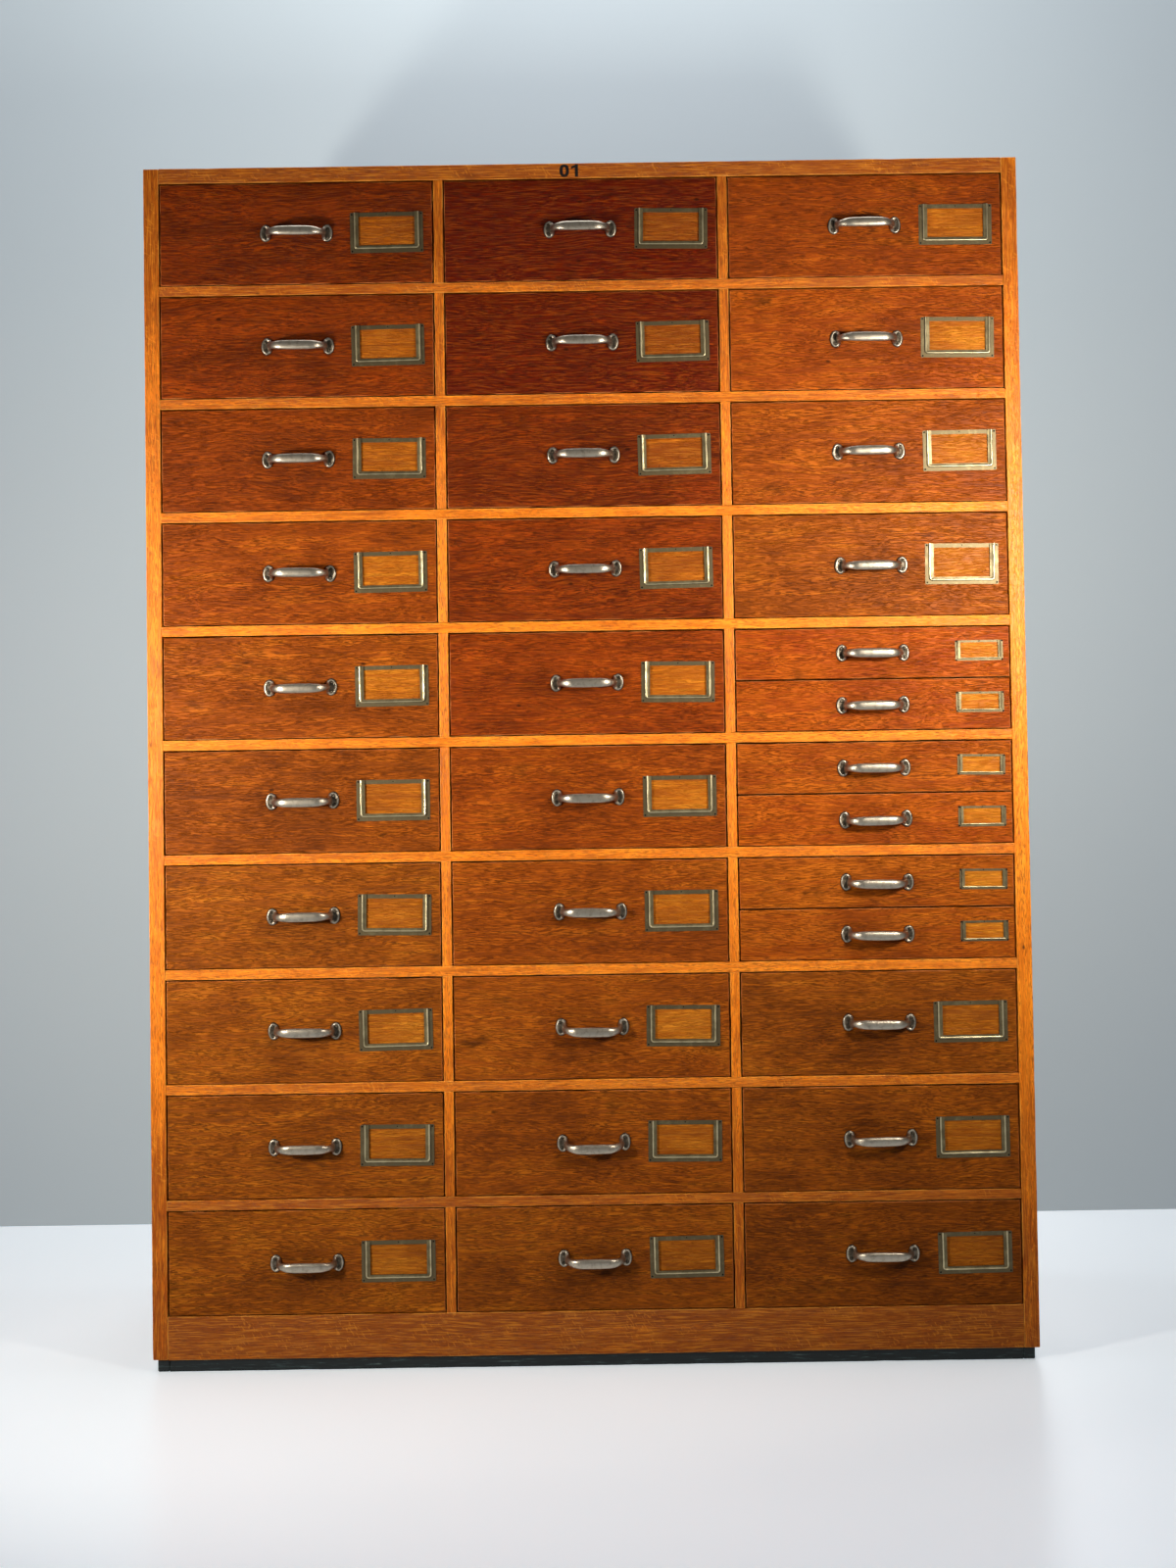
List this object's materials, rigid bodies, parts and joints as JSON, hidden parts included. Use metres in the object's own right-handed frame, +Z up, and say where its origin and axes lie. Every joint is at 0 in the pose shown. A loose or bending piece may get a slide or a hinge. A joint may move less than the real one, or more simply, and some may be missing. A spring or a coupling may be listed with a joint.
{
  "type": "pharmacy chest of drawers",
  "caption": "Tall floor-standing oak cabinet with columns of sliding drawers, each with a metal bow handle and a brass label frame, on a low black plinth.",
  "frame": {"origin": "on the floor, under the middle of the case", "axes": "+Z up, -Y out of the front, +X to the right as seen from the front"},
  "size_m": [1.27, 0.4777, 1.7338],
  "materials": {
    "oak_case": "satin, honey-coloured oak",
    "oak_drawer": "satin, dark stained oak",
    "inner_wood": "bare, unpolished wood",
    "back_wood": "bare, aged panels",
    "black_painted_wood": "worn black paint",
    "steel_screw": "dull steel",
    "unfaded_oak": "satin, paler where the label frame kept the light off",
    "worn_nickel": "worn, dull nickel",
    "aged_brass": "aged, dull brass",
    "black_paint_mark": "black painted number"
  },
  "bodies": {
    "case": {"back_panels": "back_wood", "back_screws": "steel_screw", "base_board": "oak_case", "bottom_board": "inner_wood", "drawer_runners": "inner_wood", "drawer_stops": "inner_wood", "front_rail_1": "oak_case", "front_rail_2": "oak_case", "front_rail_3": "oak_case", "front_rail_4": "oak_case", "front_rail_5": "oak_case", "front_rail_6": "oak_case", "front_rail_7": "oak_case", "front_rail_8": "oak_case", "front_rail_9": "oak_case", "left_gable": "oak_case", "left_muntins": "oak_case", "left_partition": "inner_wood", "middle_bearer": "inner_wood", "plinth_rails": "black_painted_wood", "plinth_sides": "black_painted_wood", "rear_base_board": "inner_wood", "right_gable": "oak_case", "right_muntins": "oak_case", "right_partition": "inner_wood", "small_drawer_runners": "inner_wood", "top_board": "oak_case"},
    "drawer_left_01": {"drawer_left_01": "oak_drawer"},
    "drawer_left_02": {"drawer_left_02": "oak_drawer"},
    "drawer_left_03": {"drawer_left_03": "oak_drawer"},
    "drawer_left_04": {"drawer_left_04": "oak_drawer"},
    "drawer_left_05": {"drawer_left_05": "oak_drawer"},
    "drawer_left_06": {"drawer_left_06": "oak_drawer"},
    "drawer_left_07": {"drawer_left_07": "oak_drawer"},
    "drawer_left_08": {"drawer_left_08": "oak_drawer"},
    "drawer_left_09": {"drawer_left_09": "oak_drawer"},
    "drawer_left_10": {"drawer_left_10": "oak_drawer"},
    "drawer_middle_01": {"drawer_middle_01": "oak_drawer"},
    "drawer_middle_02": {"drawer_middle_02": "oak_drawer"},
    "drawer_middle_03": {"drawer_middle_03": "oak_drawer"},
    "drawer_middle_04": {"drawer_middle_04": "oak_drawer"},
    "drawer_middle_05": {"drawer_middle_05": "oak_drawer"},
    "drawer_middle_06": {"drawer_middle_06": "oak_drawer"},
    "drawer_middle_07": {"drawer_middle_07": "oak_drawer"},
    "drawer_middle_08": {"drawer_middle_08": "oak_drawer"},
    "drawer_middle_09": {"drawer_middle_09": "oak_drawer"},
    "drawer_middle_10": {"drawer_middle_10": "oak_drawer"},
    "drawer_right_01": {"drawer_right_01": "oak_drawer"},
    "drawer_right_02": {"drawer_right_02": "oak_drawer"},
    "drawer_right_03": {"drawer_right_03": "oak_drawer"},
    "drawer_right_04": {"drawer_right_04": "oak_drawer"},
    "drawer_right_08": {"drawer_right_08": "oak_drawer"},
    "drawer_right_09": {"drawer_right_09": "oak_drawer"},
    "drawer_right_10": {"drawer_right_10": "oak_drawer"},
    "small_drawer_right_05_lower": {"small_drawer_right_05_lower": "oak_drawer"},
    "small_drawer_right_05_upper": {"small_drawer_right_05_upper": "oak_drawer"},
    "small_drawer_right_06_lower": {"small_drawer_right_06_lower": "oak_drawer"},
    "small_drawer_right_06_upper": {"small_drawer_right_06_upper": "oak_drawer"},
    "small_drawer_right_07_lower": {"small_drawer_right_07_lower": "oak_drawer"},
    "small_drawer_right_07_upper": {"small_drawer_right_07_upper": "oak_drawer"}
  },
  "joints": [
    {"name": "drawer_left_01_slide", "type": "slide", "parent": "case", "child": "drawer_left_01", "axis": [0, -1, 0], "range_m": [0, 0.33]},
    {"name": "drawer_left_02_slide", "type": "slide", "parent": "case", "child": "drawer_left_02", "axis": [0, -1, 0], "range_m": [0, 0.33]},
    {"name": "drawer_left_03_slide", "type": "slide", "parent": "case", "child": "drawer_left_03", "axis": [0, -1, 0], "range_m": [0, 0.33]},
    {"name": "drawer_left_04_slide", "type": "slide", "parent": "case", "child": "drawer_left_04", "axis": [0, -1, 0], "range_m": [0, 0.33]},
    {"name": "drawer_left_05_slide", "type": "slide", "parent": "case", "child": "drawer_left_05", "axis": [0, -1, 0], "range_m": [0, 0.33]},
    {"name": "drawer_left_06_slide", "type": "slide", "parent": "case", "child": "drawer_left_06", "axis": [0, -1, 0], "range_m": [0, 0.33]},
    {"name": "drawer_left_07_slide", "type": "slide", "parent": "case", "child": "drawer_left_07", "axis": [0, -1, 0], "range_m": [0, 0.33]},
    {"name": "drawer_left_08_slide", "type": "slide", "parent": "case", "child": "drawer_left_08", "axis": [0, -1, 0], "range_m": [0, 0.33]},
    {"name": "drawer_left_09_slide", "type": "slide", "parent": "case", "child": "drawer_left_09", "axis": [0, -1, 0], "range_m": [0, 0.33]},
    {"name": "drawer_left_10_slide", "type": "slide", "parent": "case", "child": "drawer_left_10", "axis": [0, -1, 0], "range_m": [0, 0.33]},
    {"name": "drawer_middle_01_slide", "type": "slide", "parent": "case", "child": "drawer_middle_01", "axis": [0, -1, 0], "range_m": [0, 0.33]},
    {"name": "drawer_middle_02_slide", "type": "slide", "parent": "case", "child": "drawer_middle_02", "axis": [0, -1, 0], "range_m": [0, 0.33]},
    {"name": "drawer_middle_03_slide", "type": "slide", "parent": "case", "child": "drawer_middle_03", "axis": [0, -1, 0], "range_m": [0, 0.33]},
    {"name": "drawer_middle_04_slide", "type": "slide", "parent": "case", "child": "drawer_middle_04", "axis": [0, -1, 0], "range_m": [0, 0.33]},
    {"name": "drawer_middle_05_slide", "type": "slide", "parent": "case", "child": "drawer_middle_05", "axis": [0, -1, 0], "range_m": [0, 0.33]},
    {"name": "drawer_middle_06_slide", "type": "slide", "parent": "case", "child": "drawer_middle_06", "axis": [0, -1, 0], "range_m": [0, 0.33]},
    {"name": "drawer_middle_07_slide", "type": "slide", "parent": "case", "child": "drawer_middle_07", "axis": [0, -1, 0], "range_m": [0, 0.33]},
    {"name": "drawer_middle_08_slide", "type": "slide", "parent": "case", "child": "drawer_middle_08", "axis": [0, -1, 0], "range_m": [0, 0.33]},
    {"name": "drawer_middle_09_slide", "type": "slide", "parent": "case", "child": "drawer_middle_09", "axis": [0, -1, 0], "range_m": [0, 0.33]},
    {"name": "drawer_middle_10_slide", "type": "slide", "parent": "case", "child": "drawer_middle_10", "axis": [0, -1, 0], "range_m": [0, 0.33]},
    {"name": "drawer_right_01_slide", "type": "slide", "parent": "case", "child": "drawer_right_01", "axis": [0, -1, 0], "range_m": [0, 0.33]},
    {"name": "drawer_right_02_slide", "type": "slide", "parent": "case", "child": "drawer_right_02", "axis": [0, -1, 0], "range_m": [0, 0.33]},
    {"name": "drawer_right_03_slide", "type": "slide", "parent": "case", "child": "drawer_right_03", "axis": [0, -1, 0], "range_m": [0, 0.33]},
    {"name": "drawer_right_04_slide", "type": "slide", "parent": "case", "child": "drawer_right_04", "axis": [0, -1, 0], "range_m": [0, 0.33]},
    {"name": "drawer_right_08_slide", "type": "slide", "parent": "case", "child": "drawer_right_08", "axis": [0, -1, 0], "range_m": [0, 0.33]},
    {"name": "drawer_right_09_slide", "type": "slide", "parent": "case", "child": "drawer_right_09", "axis": [0, -1, 0], "range_m": [0, 0.33]},
    {"name": "drawer_right_10_slide", "type": "slide", "parent": "case", "child": "drawer_right_10", "axis": [0, -1, 0], "range_m": [0, 0.33]},
    {"name": "small_drawer_right_05_lower_slide", "type": "slide", "parent": "case", "child": "small_drawer_right_05_lower", "axis": [0, -1, 0], "range_m": [0, 0.33]},
    {"name": "small_drawer_right_05_upper_slide", "type": "slide", "parent": "case", "child": "small_drawer_right_05_upper", "axis": [0, -1, 0], "range_m": [0, 0.33]},
    {"name": "small_drawer_right_06_lower_slide", "type": "slide", "parent": "case", "child": "small_drawer_right_06_lower", "axis": [0, -1, 0], "range_m": [0, 0.33]},
    {"name": "small_drawer_right_06_upper_slide", "type": "slide", "parent": "case", "child": "small_drawer_right_06_upper", "axis": [0, -1, 0], "range_m": [0, 0.33]},
    {"name": "small_drawer_right_07_lower_slide", "type": "slide", "parent": "case", "child": "small_drawer_right_07_lower", "axis": [0, -1, 0], "range_m": [0, 0.33]},
    {"name": "small_drawer_right_07_upper_slide", "type": "slide", "parent": "case", "child": "small_drawer_right_07_upper", "axis": [0, -1, 0], "range_m": [0, 0.33]}
  ]
}
